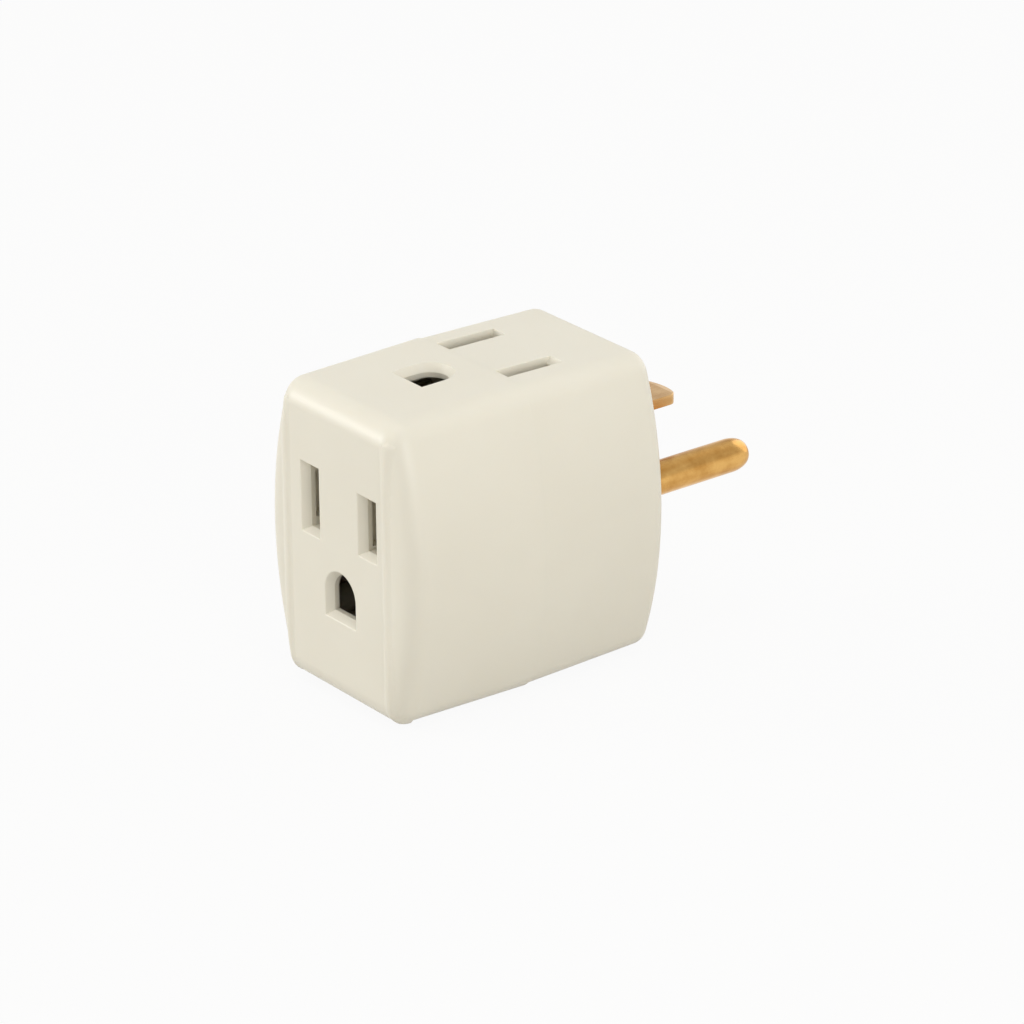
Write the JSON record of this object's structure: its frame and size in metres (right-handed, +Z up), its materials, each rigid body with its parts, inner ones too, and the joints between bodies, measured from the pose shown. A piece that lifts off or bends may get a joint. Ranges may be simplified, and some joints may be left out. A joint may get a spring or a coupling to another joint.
{
  "type": "cube outlet adapter",
  "caption": "Cube-shaped plug-in adapter with bowed sides, two flat blades and a round ground pin at the rear, and grounded outlets on its front, top and bottom faces.",
  "frame": {"origin": "middle of the plug face, level with the ground pin", "axes": "+Y along the prongs, away from the body; +Z up through the top outlet face; +X towards the side that the ground pin is nearer to"},
  "size_m": [0.0334, 0.0653, 0.0442],
  "materials": {
    "housing": "smooth moulded ivory plastic, satin",
    "prongs": "rolled and turned brass, lightly polished",
    "strips": "stamped brass strip",
    "contacts": "folded spring brass",
    "rivets": "plated steel"
  },
  "bodies": {
    "root": {"front_housing": "housing", "rear_housing": "housing", "hot_blade": "prongs", "neutral_blade": "prongs", "ground_pin": "prongs", "hot_bus": "strips", "neutral_bus": "strips", "ground_bus": "strips", "front_hot_contact": "contacts", "top_hot_contact": "contacts", "bottom_hot_contact": "contacts", "front_neutral_contact": "contacts", "top_neutral_contact": "contacts", "bottom_neutral_contact": "contacts", "front_ground_contact": "contacts", "top_ground_contact": "contacts", "bottom_ground_contact": "contacts", "hot_rivets": "rivets", "neutral_rivets": "rivets", "ground_rivets": "rivets"}
  },
  "joints": []
}
